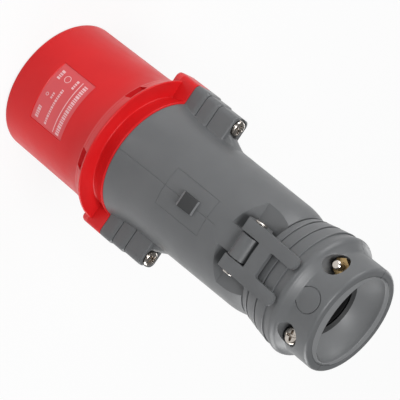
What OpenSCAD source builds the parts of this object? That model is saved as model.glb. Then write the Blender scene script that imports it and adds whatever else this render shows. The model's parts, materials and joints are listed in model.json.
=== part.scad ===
// Industrial pin and sleeve plug, 3P+E, 32 A: a four-pin plug with a red sleeve, a grey
// housing, a hinged latch lever and a two-piece cable clamp.
// The origin is the centre of the sleeve's mouth. +Z runs along the plug to the cable
// entry, the latch side faces -Y, the two screw ears lie along X and the key faces +Y.

/* [Sleeve] */
// Outer diameter of the sleeve at its mouth
sleeve_d = 66; // [64:0.5:68]
// Length from the mouth to the back of the flange
sleeve_len = 59.6; // [58:0.2:64]
// Wall thickness of the sleeve
sleeve_wall = 3.6; // [2.8:0.1:4]
// Radius that the sleeve gains from its mouth to the flange
sleeve_draft = 0.3; // [0:0.1:0.6]
// Depth of the open cavity around the pins
cavity_depth = 46; // [42:0.5:47]
// Rounding of the mouth's outer edge
mouth_round = 1.4; // [0.4:0.1:1.6]
// Thickness of the ring that the pin carrier seats on
seat_t = 4; // [3:0.5:5]
// Radial width of that ring
seat_w = 2.2; // [1.5:0.1:3]

/* [Flange and neck] */
// Diameter of the flange behind the sleeve
flange_d = 75.2; // [72:0.2:76]
// Width of the flange's sloping rim
flange_rim = 6.6; // [5:0.2:8]
// Diameter of the crease at the front of that rim
crease_d = 68.8; // [68:0.2:71]
// Length of the flare between the sleeve and the crease
flare_len = 9; // [7:0.5:10]
// Length of the neck between the flange and the seam
neck_len = 7.5; // [6.5:0.1:9]
// Diameter of the neck at its narrowest
neck_d = 59.6; // [59:0.2:61]
// Diameter of the lip at the seam
lip_d = 62.2; // [61.4:0.2:63]

/* [Key and label field] */
// Width of the key on the sleeve
key_w = 6; // [4:0.5:8]
// Height of the key above the sleeve
key_h = 3.4; // [2.5:0.1:3.8]
// Distance from the mouth to the key's end
key_start = 3; // [2:0.5:6]
// Length of the sunk label field along the plug
label_len = 21.5; // [14:0.5:24]
// Width of the label field
label_w = 29; // [20:0.5:34]
// Distance from the mouth to the label field
label_start = 17; // [10:0.5:18]
// Depth of the label field
label_sink = 0.3; // [0.1:0.1:0.6]

/* [Housing] */
// Length of the grey housing behind the seam
body_len = 85.4; // [80:0.2:92]
// Diameter of the housing at the seam
body_front_d = 61.4; // [60.4:0.2:62]
// Diameter of the housing behind its front flare
body_mid_d = 56.2; // [55.4:0.2:57.4]
// Diameter of the housing before its rear rounding
body_rear_d = 54.2; // [53.4:0.2:55.4]
// Diameter of the housing's end face
body_end_d = 50.8; // [50:0.2:52]
// Wall thickness of the housing
body_wall = 2.8; // [2.2:0.1:3.2]
// Length of the front flare
front_flare = 28; // [22:1:34]
// Length of the rear rounding
rear_round = 10; // [8:0.5:12]
// Wall thickness of the spigot
spigot_wall = 2.6; // [2:0.1:3]

/* [Ears] */
// Half of the span over the two ears
ear_reach = 40.2; // [39.4:0.2:42]
// Thickness of an ear
ear_t = 13.6; // [12:0.2:16]
// Distance that the ears run behind the seam
ear_back = 26.1; // [24:0.1:30]
// Distance that the ears run ahead of the flange's back
ear_ahead = 5.1; // [3:0.1:6]
// Rounding of an ear's outer corners
ear_round = 2.6; // [1:0.1:4]
// Length of each of the two short blocks at an ear's front
ear_block = 7.7; // [6:0.1:8.4]
// Size of each of the two steps along an ear
ear_step = 0.45; // [0.2:0.05:0.6]
// Distance from an ear's end to its screw
screw_edge = 5.4; // [5.2:0.1:5.8]

/* [Closing lug] */
// Distance from the seam to the lug
lug_start = 38.6; // [34:0.2:44]
// Length of the lug
lug_len = 9.9; // [8:0.1:12]
// Width of the lug
lug_w = 7; // [5:0.5:10]
// Height of the lug
lug_h = 3.2; // [2:0.1:4]

/* [Latch] */
// Distance that the hinge lies below the edge of the housing's end face
hinge_sink = 0.8; // [0.2:0.1:1]
// Distance from the housing's end to the hinge
hinge_back = 7.7; // [7.5:0.1:8.2]
// Diameter of the hinge pin
hinge_pin_d = 3; // [2.4:0.1:3.4]
// Radius of the knuckle
knuckle_r = 5; // [4.4:0.1:5.2]
// Width of the knuckle
knuckle_w = 11; // [9:0.5:11.4]
// Distance from the hinge down to the floor under the latch
floor_drop = 6.4; // [6.3:0.1:7]
// Width over the latch arms
latch_w = 24; // [22:0.5:25]
// Width between the latch arms
latch_gap = 12.2; // [12:0.1:13]
// Radius of the latch arms' front ends
arm_r = 6; // [5.6:0.1:6]
// Distance from the hinge to the crossbar
crossbar_ahead = 6.6; // [6.4:0.1:7]
// Length of the crossbar along the plug
crossbar_len = 7.6; // [6:0.2:8.4]
// Distance from the hinge to the tips of the latch
latch_tail = 28.6; // [27:0.2:29.2]
// Height of the arms above the hinge
arm_rise = 4; // [3.4:0.1:4.4]
// Clearance between the latch and the clamp's bulge
tail_gap = 0.4; // [0.3:0.1:1]
// Thickness of the latch at its tips
tail_t = 2.2; // [1.8:0.1:2.3]

/* [Cable clamp] */
// Length of the clamp behind the housing
clamp_len = 39.8; // [38.6:0.2:44]
// Diameter of the clamp's collar
collar_d = 51.7; // [50.8:0.1:53]
// Diameter of the bulge
bulge_d = 59; // [58:0.2:59.6]
// Length of the collar behind the bulge
collar_len = 13.8; // [13:0.2:16]
// Depth of the grooves between the ribs
rib_groove = 0.6; // [0.3:0.1:0.8]
// Width of the oval cable mouth
mouth_w = 43; // [40:0.5:44]
// Height of the oval cable mouth
mouth_h = 33; // [30:0.5:35]
// Depth of the flare at the cable mouth
mouth_depth = 8.4; // [6:0.2:8.6]
// Diameter of the throat inside the clamp
throat_d = 25; // [23:0.5:26]
// Diameter of the cable that the saddle ribs leave free
saddle_d = 21; // [19:0.5:22]
// Distance from the axis to a clamp screw
clamp_screw_reach = 17.6; // [17.2:0.1:18]
// Distance from the clamp's end to a clamp screw
clamp_screw_back = 10.9; // [10.5:0.1:11.4]
// Gap between the two clamp halves
split_gap = 0.3; // [0.2:0.05:0.6]

/* [Pins and carrier] */
// Diameter of the pitch circle of the pins
pin_circle_d = 31.5; // [30:0.1:33]
// Diameter of a phase pin
phase_pin_d = 6; // [5.5:0.1:6.4]
// Diameter of the earth pin
earth_pin_d = 8; // [7.4:0.1:8.2]
// Extra radius of a pin where it is held in the carrier
pin_shoulder = 0.4; // [0.2:0.1:0.6]
// Distance from the mouth to the tips of the phase pins
phase_tip = 10; // [8:0.5:14]
// Distance from the mouth to the tip of the earth pin
earth_tip = 7; // [5:0.5:9]
// Thickness of the carrier's flange
carrier_flange_t = 6; // [5:0.5:7]
// Length of the terminal towers behind the flange
tower_len = 22; // [18:0.5:26]
// Outer diameter of a terminal tower
tower_d = 13; // [12.2:0.1:13.6]
// Diameter of a terminal post
post_d = 9; // [8.4:0.1:9.2]
// Diameter of the wire hole in a terminal post
wire_hole_d = 4.8; // [4:0.1:5]

/* [Seals] */
// Thickness of the gasket between the carrier and the housing's spigot
gasket_t = 2.1; // [1.5:0.1:2.5]
// Diameter of the bore in the cable seal
seal_bore_d = 18; // [14:0.5:20]
// Length of the cable seal
seal_len = 15; // [12:0.5:16]

/* [Fasteners and fits] */
// Thread diameter of the housing and clamp screws
screw_d = 3.9; // [3.4:0.1:4]
// Diameter of a pan head
head_d = 7.6; // [7:0.1:7.8]
// Height of a pan head
head_h = 2.8; // [2.4:0.1:3]
// Thread diameter of a terminal screw
terminal_screw_d = 3.9; // [3.4:0.1:4]
// Diameter of a threaded insert
insert_d = 5.6; // [5.4:0.1:6]
// Length of a threaded insert
insert_len = 8; // [6:0.5:8.5]
// Clearance around a screw in a plain hole
hole_gap = 0.3; // [0.2:0.05:0.4]
// Clearance in a running or threaded fit
fit_gap = 0.05; // [0.03:0.01:0.08]
// Clearance between moulded pieces that slide together
slip_gap = 0.2; // [0.15:0.05:0.3]

/* [Hidden] */
$fn = 96;
red = "#c8202a";
grey = "#66696d";
dark_grey = "#3a3c3f";
steel = "#c9cbcd";
brass = "#c4a052";
rubber = "#2a2a2b";
eps = 0.01;

// places along the plug
seam_z = sleeve_len + neck_len;
body_end_z = seam_z + body_len;
hinge_z = body_end_z - hinge_back;
clamp_gap = 0.3;
clamp_z = body_end_z + clamp_gap;
clamp_end_z = body_end_z + clamp_len;
collar_z = clamp_end_z - collar_len;
clamp_screw_z = clamp_end_z - clamp_screw_back;
ear_end_z = seam_z + ear_back;
screw_reach = ear_reach - screw_edge;

// radii
sleeve_r = sleeve_d / 2;
cavity_r = sleeve_r - sleeve_wall;
flange_r = flange_d / 2;
crease_r = crease_d / 2;
neck_r = neck_d / 2;
lip_r = lip_d / 2;
bore_r = neck_r - 3;
seat_r = bore_r - seat_w;
pin_ring_r = pin_circle_d / 2;
spigot_r = bore_r - slip_gap;
hinge_reach = body_end_d / 2 - hinge_sink;
floor_reach = hinge_reach - floor_drop;

// stack inside the sleeve, from the seat to the spigot
seat_back_z = cavity_depth + seat_t;
carrier_back_z = seat_back_z + carrier_flange_t;
spigot_z = carrier_back_z + gasket_t;
post_back_z = carrier_back_z + tower_len - 3;
terminal_z = post_back_z - 7;

// housing screws
head_seat_z = ear_end_z - 1.6;
insert_z = seam_z - 0.6 - insert_len;
housing_screw_len = head_seat_z - insert_z - 0.5;

// clamp screws
clamp_head_seat = 13.6;
clamp_bore_r = head_d / 2 + 0.45;
nut_flat = 7;
nut_t = 3.2;
nut_seat = 11.8;
clamp_screw_end = 19.3;

// neck of the housing that carries the clamp
tail_bore_r = 15;
tail_r = 17.4;
tail_flange_r = 19.4;
tail_flange_t = 3;
tail_flange_z = clamp_z + 7;
tail_end_z = tail_flange_z + tail_flange_t;
seal_z = tail_end_z - seal_len - 1.2;

// where the three ribs of the skirt start and end behind the housing
rib_starts = [0, 4.2, 10.3];
rib_ends = [3.6, 9.7, 16.2];

// points on an arc around [c, d]; angles in degrees
function arc(c, d, r, from, to, n) =
    [for (i = [0:n]) let (a = from + (to - from) * i / n) [c + r * cos(a), d + r * sin(a)]];

// radius of the housing's outside at the height z
function body_r(z) =
    let (t = (z - seam_z) / body_len,
        f = max(0, 1 - (z - seam_z) / front_flare),
        s = max(0, (z - (body_end_z - rear_round)) / rear_round))
    (body_mid_d + (body_rear_d - body_mid_d) * t) / 2
        + (body_front_d - body_mid_d) / 2 * pow(f, 3)
        - (body_rear_d - body_end_d) / 2 * pow(s, 2);

// radius of the clamp's ribbed skirt at the height z
function skirt_r(z) =
    let (t = (z - clamp_z) / (collar_z - 6 - clamp_z))
    body_end_d / 2 + (bulge_d / 2 - body_end_d / 2) * pow(min(1, max(0, t)), 0.85);

// a shape drawn as [distance outwards from the axis, height], spread along X on the latch side
module latch_side(w) {
    translate([-w / 2, 0, 0]) rotate([90, 0, 90]) linear_extrude(w) mirror([1, 0]) children();
}

// a solid ring with square edges
module ring(r_out, r_in, z0, z1) {
    translate([0, 0, z0]) rotate_extrude()
        translate([r_in, 0]) square([r_out - r_in, z1 - z0]);
}

// a hole along Z
module hole(x, r, z0, z1) {
    translate([x, 0, z0]) cylinder(h = z1 - z0, r = r);
}

// a hole or rod along Y
module cross_rod(x, z, r, y0, y1) {
    translate([x, y1, z]) rotate([90, 0, 0]) cylinder(h = y1 - y0, r = r);
}

// outline of the two ears in plan, reach from the axis and half thickness
module ear_plan(reach, half_t) {
    for (s = [-1, 1]) scale([s, 1]) {
        translate([lip_r - 8, -half_t]) square([reach - ear_round - lip_r + 8, 2 * half_t]);
        translate([lip_r - 8, -half_t + ear_round])
            square([reach - lip_r + 8, 2 * (half_t - ear_round)]);
        for (y = [-1, 1]) translate([reach - ear_round, y * (half_t - ear_round)])
            circle(r = ear_round, $fn = 32);
        polygon([[lip_r - 8, -half_t - 3], [lip_r - 1, -half_t - 0], [lip_r - 1, half_t],
            [lip_r - 8, half_t + 3]]);
    }
}

module ear_bars(reach, half_t, z0, z1) {
    translate([0, 0, z0]) linear_extrude(z1 - z0) ear_plan(reach, half_t);
}

// ---- sleeve ----

module sleeve_skin() {
    flare_z = sleeve_len - flange_rim - flare_len;
    rim_z = sleeve_len - flange_rim;
    flare_r0 = sleeve_r + sleeve_draft;
    rotate_extrude() polygon(concat(
        [[0, 0]],
        arc(sleeve_r - mouth_round, mouth_round, mouth_round, -90, 0, 6),
        [for (i = [0:10]) let (t = i / 10)
            [flare_r0 + (crease_r - flare_r0) * t * t, flare_z + flare_len * t]],
        arc(flange_r - 0.8, sleeve_len - 0.8, 0.8, 0, 90, 4),
        arc(neck_r + 1.5, sleeve_len + 1.5, 1.5, 270, 180, 4),
        [[neck_r, sleeve_len + 2], [lip_r - 0.5, seam_z - 1.6], [lip_r, seam_z - 0.9],
            [lip_r, seam_z - 0.4], [lip_r - 0.4, seam_z], [0, seam_z]]));
}

module sleeve_bore() {
    rotate_extrude() polygon([[0, -1], [cavity_r + 0.6, -1], [cavity_r + 0.6, 0],
        [cavity_r, 1.2], [cavity_r, cavity_depth], [seat_r, cavity_depth],
        [seat_r, seat_back_z], [bore_r, seat_back_z], [bore_r, seam_z + 1], [0, seam_z + 1]]);
}

module key() {
    key_end = sleeve_len - 2;
    translate([-key_w / 2, sleeve_r - 1.5, key_start])
        cube([key_w, key_h + 1.5, key_end - key_start]);
}

module label_field() {
    intersection() {
        ring(sleeve_r + 5, sleeve_r + sleeve_draft / 2 - label_sink, label_start,
            label_start + label_len);
        translate([-label_w / 2, -sleeve_r - 5, 0]) cube([label_w, sleeve_r, sleeve_len]);
    }
}

module front_sleeve() color(red) difference() {
    union() {
        sleeve_skin();
        key();
        difference() {
            ear_bars(ear_reach, ear_t / 2, sleeve_len - ear_ahead, seam_z);
            ring(crease_r - 0.5, 0, 0, sleeve_len - 1);
        }
    }
    sleeve_bore();
    label_field();
    for (s = [-1, 1]) hole(s * screw_reach, insert_d / 2 + fit_gap, insert_z, seam_z + 1);
}

// ---- pins and carrier ----

// the four places around the carrier, with the earth towards the key
module at_pin(angle) rotate([0, 0, angle]) translate([pin_ring_r, 0, 0]) children();

module pin_carrier() color(dark_grey) difference() {
    union() {
        ring(seat_r - slip_gap, 0, cavity_depth, seat_back_z + eps);
        ring(spigot_r, 0, seat_back_z, carrier_back_z);
        for (a = [0:90:270]) at_pin(a)
            hole(0, tower_d / 2, carrier_back_z - eps, carrier_back_z + tower_len);
        hole(0, 5, carrier_back_z - eps, carrier_back_z + tower_len - 6);
        for (a = [45, 135]) rotate([0, 0, a])
            translate([-pin_ring_r * 0.9, -1, carrier_back_z - eps])
                cube([pin_ring_r * 1.8, 2, tower_len - 8]);
    }
    for (a = [0, 180, 270]) at_pin(a)
        hole(0, phase_pin_d / 2 + pin_shoulder + fit_gap, 0, seat_back_z + 1);
    at_pin(90) hole(0, earth_pin_d / 2 + pin_shoulder + fit_gap, 0, seat_back_z + 1);
    for (a = [0:90:270]) at_pin(a) {
        hole(0, post_d / 2 + fit_gap, seat_back_z, carrier_back_z + tower_len + 1);
        translate([0, 0, terminal_z]) rotate([0, 90, 0])
            cylinder(h = tower_d, r = terminal_screw_d / 2 + 0.6);
    }
}

module contact_pin(pin_d, tip_z) {
    tip = pin_d / 4;
    held_r = pin_d / 2 + pin_shoulder;
    color(brass) difference() {
        union() {
            rotate_extrude() polygon(concat([[0, tip_z]],
                arc(pin_d / 2 - tip, tip_z + tip, tip, -90, 0, 6),
                [[pin_d / 2, cavity_depth], [held_r, cavity_depth],
                [held_r, seat_back_z + eps], [0, seat_back_z + eps]]));
            hole(0, post_d / 2, seat_back_z, post_back_z);
        }
        hole(0, wire_hole_d / 2, post_back_z - 13, post_back_z + 1);
        translate([0, 0, terminal_z]) rotate([0, 90, 0])
            cylinder(h = post_d, r = terminal_screw_d / 2 + fit_gap);
    }
}

module pin_l1() at_pin(180) contact_pin(phase_pin_d, phase_tip);
module pin_l2() at_pin(270) contact_pin(phase_pin_d, phase_tip);
module pin_l3() at_pin(0) contact_pin(phase_pin_d, phase_tip);
module pin_earth() at_pin(90) contact_pin(earth_pin_d, earth_tip);

module terminal_screw() color(steel) translate([0, 0, terminal_z]) rotate([0, 90, 0])
    difference() {
        translate([0, 0, 0.6]) cylinder(h = tower_d / 2 - 1.2, r = terminal_screw_d / 2);
        translate([-0.4, -terminal_screw_d, tower_d / 2 - 1.6]) cube([0.8, 8, 2]);
    }

module terminal_screw_l1() at_pin(180) terminal_screw();
module terminal_screw_l2() at_pin(270) terminal_screw();
module terminal_screw_l3() at_pin(0) terminal_screw();
module terminal_screw_earth() at_pin(90) terminal_screw();

module body_gasket() color(rubber)
    ring(spigot_r - 0.1, spigot_r - spigot_wall - 0.4, carrier_back_z, spigot_z);

// ---- housing ----

module body_skin(inset) {
    steps = 20;
    z0 = seam_z;
    z1 = body_end_z - inset;
    rotate_extrude() polygon(concat([[0, z0]],
        [for (i = [0:steps]) let (z = z0 + (z1 - z0) * i / steps) [body_r(z) - inset, z]],
        [[0, z1]]));
}

// outline of the flat under the latch, with its sloping front wall
module recess_outline(grow) {
    front = hinge_z - 6.4 - grow;
    polygon([[floor_reach - grow, front], [floor_reach - grow, body_end_z + 5],
        [flange_r, body_end_z + 5], [flange_r, front - (flange_r - floor_reach) * 0.58],
        ]);
}

// tongue and knuckle that stand in the flat
module tongue_outline() {
    ramp_z = hinge_z - 16.8;
    polygon([[floor_reach - 1, ramp_z - 6], [body_r(ramp_z) - 1.5, ramp_z - 6],
        [body_r(ramp_z), ramp_z], [hinge_reach + 0.8, hinge_z - knuckle_r + 0.2],
        [hinge_reach, hinge_z - knuckle_r + 0.1], [hinge_reach, hinge_z + knuckle_r],
        [floor_reach - 1, hinge_z + knuckle_r]]);
}

module ramp_outline() {
    ramp_z = hinge_z - 16.8;
    polygon([[body_r(ramp_z), ramp_z], [hinge_reach + 0.8, hinge_z - knuckle_r + 0.2],
        [flange_r, hinge_z - knuckle_r + 0.2], [flange_r, ramp_z]]);
}

module lug() {
    z0 = seam_z + lug_start;
    r0 = body_r(z0);
    latch_side(lug_w) polygon([[r0 - 1.5, z0], [r0 - 0.1, z0], [r0 + lug_h - 0.5, z0 + 2.6],
        [r0 + lug_h - 0.4, z0 + 3.2], [r0 - 0.6, z0 + lug_len], [r0 - 1.5, z0 + lug_len]]);
}

module housing_ears() {
    ends = [0, ear_block, 2 * ear_block, ear_back];
    for (i = [0:2]) ear_bars(ear_reach - ear_step * i, ear_t / 2 - ear_step * i,
        seam_z + ends[i], seam_z + ends[i + 1] + (i < 2 ? eps : 0));
}

module housing_tail() {
    ring(tail_r, tail_bore_r - 1, body_end_z - body_wall, tail_end_z);
    ring(tail_flange_r, tail_bore_r - 1, tail_flange_z, tail_end_z);
}

module rear_housing() color(grey) difference() {
    union() {
        difference() {
            union() {
                body_skin(0);
                difference() {
                    housing_ears();
                    ring(body_mid_d / 2 - body_wall, 0, seam_z - 1, body_end_z);
                }
            }
            difference() {
                latch_side(2 * flange_r) recess_outline(0);
                latch_side(knuckle_w) tongue_outline();
            }
            latch_side(knuckle_w) ramp_outline();
            difference() {
                body_skin(body_wall);
                latch_side(2 * flange_r) recess_outline(body_wall);
                ring(body_mid_d, bore_r, 0, seam_z + 2);
            }
        }
        intersection() {
            latch_side(knuckle_w) tongue_outline();
            ring(2 * flange_r, floor_reach - 3, 0, body_end_z);
        }
        translate([-knuckle_w / 2, -hinge_reach, hinge_z]) rotate([0, 90, 0])
            cylinder(h = knuckle_w, r = knuckle_r);
        lug();
        housing_tail();
        ring(spigot_r, spigot_r - spigot_wall, spigot_z, seam_z + 4);
        ring(bore_r + 1, spigot_r - spigot_wall, seam_z, seam_z + 4);
    }
    ring(tail_bore_r, 0, seal_z, tail_end_z - 1.2);
    ring(tail_bore_r - 2, 0, seal_z - 5, tail_end_z + 1);
    translate([-knuckle_w, -hinge_reach, hinge_z]) rotate([0, 90, 0])
        cylinder(h = 2 * knuckle_w, r = hinge_pin_d / 2 + fit_gap);
    for (s = [-1, 1]) {
        hole(s * screw_reach, screw_d / 2 + hole_gap, seam_z - 1, ear_end_z + 1);
        hole(s * screw_reach, head_d / 2 + 0.8, head_seat_z, ear_end_z + 1);
    }
}

// ---- fasteners ----

module pan_screw(len) color(steel) difference() {
    union() {
        cylinder(h = len + eps, r = screw_d / 2);
        translate([0, 0, len]) rotate_extrude() polygon(concat([[0, 0], [head_d / 2, 0]],
            arc(head_d / 2 - 1.2, head_h - 1.2, 1.2, 0, 90, 5), [[0, head_h]]));
    }
    for (a = [0, 90]) translate([0, 0, len + head_h - 0.6]) rotate([0, 0, a + 45])
        cube([head_d * 0.62, 1.1, 2.6], center = true);
}

module threaded_insert() color(brass) difference() {
    cylinder(h = insert_len, r = insert_d / 2);
    translate([0, 0, -1]) cylinder(h = insert_len + 2, r = screw_d / 2 + fit_gap);
}

module housing_screw() translate([screw_reach, 0, head_seat_z - housing_screw_len])
    pan_screw(housing_screw_len);

module ear_insert_left() translate([-screw_reach, 0, insert_z]) threaded_insert();
module ear_insert_right() translate([screw_reach, 0, insert_z]) threaded_insert();
module housing_screw_left() rotate([0, 0, 180]) housing_screw();
module housing_screw_right() housing_screw();

// clamp screw that enters from the latch side on the +X side
module clamp_screw() translate([clamp_screw_reach, clamp_screw_end, clamp_screw_z])
    rotate([90, 0, 0]) pan_screw(clamp_screw_end + clamp_head_seat);

module clamp_nut() color(brass) translate([clamp_screw_reach, nut_seat, clamp_screw_z])
    rotate([-90, 0, 0]) difference() {
        cylinder(h = nut_t, r = nut_flat / sqrt(3), $fn = 6);
        translate([0, 0, -1]) cylinder(h = nut_t + 2, r = screw_d / 2 + fit_gap);
    }

module clamp_screw_right() clamp_screw();
module clamp_screw_left() rotate([0, 0, 180]) clamp_screw();
module clamp_nut_right() clamp_nut();
module clamp_nut_left() rotate([0, 0, 180]) clamp_nut();

// ---- latch ----

module latch_lever() {
    top = hinge_reach + arm_rise;
    tip_z = hinge_z + latch_tail;
    under = bulge_d / 2 + tail_gap;
    bar_z = hinge_z + crossbar_ahead;
    rib_along = 17.8;
    rib_under = skirt_r(hinge_z + rib_along) + 0.73;
    color(grey) difference() {
        union() {
            intersection() {
                translate([-latch_w / 2, -hinge_reach, hinge_z]) rotate([0, 90, 0])
                    cylinder(h = latch_w, r = arm_r);
                latch_side(latch_w) translate([0, hinge_z - arm_r]) square([top, 2 * arm_r]);
            }
            latch_side(latch_w) polygon([[hinge_reach - arm_r * 0.9, hinge_z],
                [hinge_reach - arm_r * 0.9, hinge_z + 3.4], [body_end_d / 2 + 0.6, bar_z + 0.8],
                [rib_under, hinge_z + rib_along], [under, tip_z],
                [under + tail_t, tip_z], [top + 0.3, bar_z],
                [top, hinge_z + 3], [top, hinge_z - 2], [hinge_reach, hinge_z - 2]]);
        }
        translate([-latch_gap / 2, -flange_r, hinge_z - 2 * arm_r])
            cube([latch_gap, flange_r, 2 * arm_r + crossbar_ahead]);
        translate([-latch_gap / 2, -flange_r, bar_z + crossbar_len])
            cube([latch_gap, flange_r, latch_tail]);
        translate([-latch_w, -hinge_reach, hinge_z]) rotate([0, 90, 0])
            cylinder(h = 2 * latch_w, r = hinge_pin_d / 2 + fit_gap);
        tip_rounding(tip_z);
    }
}

// what the rounded tips of the two legs leave off
module tip_rounding(tip_z) {
    leg_w = (latch_w - latch_gap) / 2;
    r = leg_w / 2 - 0.4;
    for (s = [-1, 1]) translate([s * (latch_w + latch_gap) / 4, 0, tip_z - r])
        rotate([90, 0, 0]) linear_extrude(flange_r) difference() {
            translate([-leg_w, 0]) square([2 * leg_w, r + 1]);
            for (t = [-0.4, 0.4]) translate([t, 0]) circle(r = r, $fn = 48);
            translate([-0.4, 0]) square([0.8, r]);
        }
}

module latch_pin() color(steel) translate([0, -hinge_reach, hinge_z]) rotate([0, 90, 0]) {
    half = latch_w / 2 + 0.1;
    translate([0, 0, -half]) cylinder(h = 2 * half, r = hinge_pin_d / 2);
    for (s = [0, 1]) mirror([0, 0, s]) translate([0, 0, half - eps])
        cylinder(h = 0.8, r = hinge_pin_d);
}

// ---- cable clamp ----

module cable_seal() color(rubber) {
    gap = 0.1;
    difference() {
        ring(tail_bore_r - gap, seal_bore_d / 2, seal_z, seal_z + seal_len);
        for (z = [seal_z + 4, seal_z + 8])
            ring(tail_bore_r + 1, tail_bore_r - 1, z, z + 1.4);
    }
}

module clamp_skin() {
    bulge_z = collar_z - 6;
    collar_r = collar_d / 2;
    chamfer = 0.4;
    rotate_extrude() polygon(concat([[0, clamp_z]],
        [for (i = [0:2]) let (z0 = clamp_z + rib_starts[i], z1 = clamp_z + rib_ends[i])
            each [[skirt_r(z0) - rib_groove, z0], [skirt_r(z0), z0 + chamfer],
                [skirt_r(z1), z1 - chamfer], [skirt_r(z1) - rib_groove, z1]]],
        arc(bulge_d / 2 - 2.8, bulge_z + 1.2, 2.8, 0, 60, 6),
        arc(collar_r + 2.4, collar_z + 1.6, 2.4, 220, 180, 4),
        arc(collar_r - 1.6, clamp_end_z - 1.6, 1.6, 0, 90, 6), [[0, clamp_end_z]]));
}

// the hollow of the clamp: a seat for the housing's tail, a throat and an oval mouth
module clamp_hollow() {
    gap = 0.25;
    ring(tail_r + gap, 0, clamp_z - 1, tail_end_z);
    ring(tail_flange_r + gap, 0, tail_flange_z - gap, tail_end_z + gap);
    ring(throat_d / 2, 0, tail_end_z, clamp_end_z + 1);
    shift = (mouth_w - mouth_h) / 2;
    for (s = [-1, 1]) translate([s * shift, 0, 0]) rotate_extrude() mouth_flare();
    translate([-shift, 0, 0]) rotate([90, 0, 90]) linear_extrude(2 * shift) {
        mouth_flare();
        mirror([1, 0]) mouth_flare();
    }
}

// half section of the flare at the cable mouth
module mouth_flare() {
    throat_r = throat_d / 2;
    polygon(concat([[0, clamp_end_z - mouth_depth]],
        [for (i = [0:8]) let (t = i / 8)
            [throat_r + (mouth_h / 2 - throat_r) * pow(t, 2), clamp_end_z - mouth_depth * (1 - t)]],
        [[mouth_h / 2, clamp_end_z + 1], [0, clamp_end_z + 1]]));
}

module clamp_half() color(grey) difference() {
    union() {
        difference() {
            clamp_skin();
            clamp_hollow();
        }
        for (z = [collar_z - 3, clamp_screw_z - 1])
            ring(throat_d / 2 + 0.5, saddle_d / 2, z, z + 2);
    }
    translate([-flange_r, -split_gap / 2, 0]) cube([2 * flange_r, flange_r, clamp_end_z + 1]);
    cross_rod(clamp_screw_reach, clamp_screw_z, screw_d / 2 + hole_gap, -flange_r, 1);
    cross_rod(clamp_screw_reach, clamp_screw_z, clamp_bore_r, -flange_r, -clamp_head_seat);
    cross_rod(-clamp_screw_reach, clamp_screw_z, screw_d / 2 + hole_gap, -flange_r, 1);
    cross_rod(-clamp_screw_reach, clamp_screw_z, clamp_bore_r, -flange_r, -nut_seat);
}

module clamp_half_latch_side() clamp_half();
module clamp_half_key_side() rotate([0, 0, 180]) clamp_half();

front_sleeve();
pin_carrier();
pin_l1();
pin_l2();
pin_l3();
pin_earth();
terminal_screw_l1();
terminal_screw_l2();
terminal_screw_l3();
terminal_screw_earth();
body_gasket();
rear_housing();
ear_insert_left();
ear_insert_right();
housing_screw_left();
housing_screw_right();
latch_lever();
latch_pin();
cable_seal();
clamp_half_latch_side();
clamp_half_key_side();
clamp_screw_right();
clamp_screw_left();
clamp_nut_right();
clamp_nut_left();
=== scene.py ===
import json
import math
import bmesh
import bpy
import numpy as np
from mathutils import Matrix, Vector


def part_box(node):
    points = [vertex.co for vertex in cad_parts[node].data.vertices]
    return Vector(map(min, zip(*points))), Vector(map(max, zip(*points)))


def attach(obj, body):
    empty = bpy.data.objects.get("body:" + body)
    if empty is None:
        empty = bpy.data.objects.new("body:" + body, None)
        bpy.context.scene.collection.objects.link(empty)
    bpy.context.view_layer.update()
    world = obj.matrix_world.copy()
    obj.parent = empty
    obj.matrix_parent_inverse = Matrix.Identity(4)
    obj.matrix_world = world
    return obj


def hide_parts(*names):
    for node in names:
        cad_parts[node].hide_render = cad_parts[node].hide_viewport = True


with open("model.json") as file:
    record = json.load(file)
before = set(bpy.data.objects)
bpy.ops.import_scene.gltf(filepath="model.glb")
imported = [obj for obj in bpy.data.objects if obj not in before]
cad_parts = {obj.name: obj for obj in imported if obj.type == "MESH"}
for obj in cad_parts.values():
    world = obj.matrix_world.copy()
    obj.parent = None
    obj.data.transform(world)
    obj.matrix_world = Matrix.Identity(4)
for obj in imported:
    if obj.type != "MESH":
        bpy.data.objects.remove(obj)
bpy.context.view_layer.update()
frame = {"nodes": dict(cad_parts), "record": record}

mm = 0.001


def nodeBox(name):
    # lowest and highest corner of a frame node, in millimetres
    lo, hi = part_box(name)
    return np.array(lo) / mm, np.array(hi) / mm


sleeveLo, sleeveHi = nodeBox("front_sleeve")
clampLo, clampHi = nodeBox("clamp_half_latch_side")
leverLo, leverHi = nodeBox("latch_lever")
hingeLo, hingeHi = nodeBox("latch_pin")
earScrewLo, earScrewHi = nodeBox("housing_screw_right")
gripScrewLo, gripScrewHi = nodeBox("clamp_screw_right")
housingLo = nodeBox("rear_housing")[0]

seamZ = sleeveHi[2]  # plane where the red sleeve meets the grey housing
earReach = sleeveHi[0]
flangeR = -sleeveLo[1]
clampZ = clampLo[2]
clampEndZ = clampHi[2]
bodyEndZ = clampZ - 0.3
bulgeR = -clampLo[1]
hingeY = (hingeLo[1] + hingeHi[1]) / 2
hingeZ = (hingeLo[2] + hingeHi[2]) / 2
earScrewX = (earScrewLo[0] + earScrewHi[0]) / 2
gripScrewX = (gripScrewLo[0] + gripScrewHi[0]) / 2
gripScrewZ = (gripScrewLo[2] + gripScrewHi[2]) / 2

farOut = 40  # past every outer surface, for the shapes that cut
bores = {  # radii of the holes that the small pieces stand in
    "insert": 2.85,
    "earScrew": 2.25,
    "earHead": 4.6,
    "gripScrew": 2.25,
    "hingePin": 1.55,
}


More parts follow.
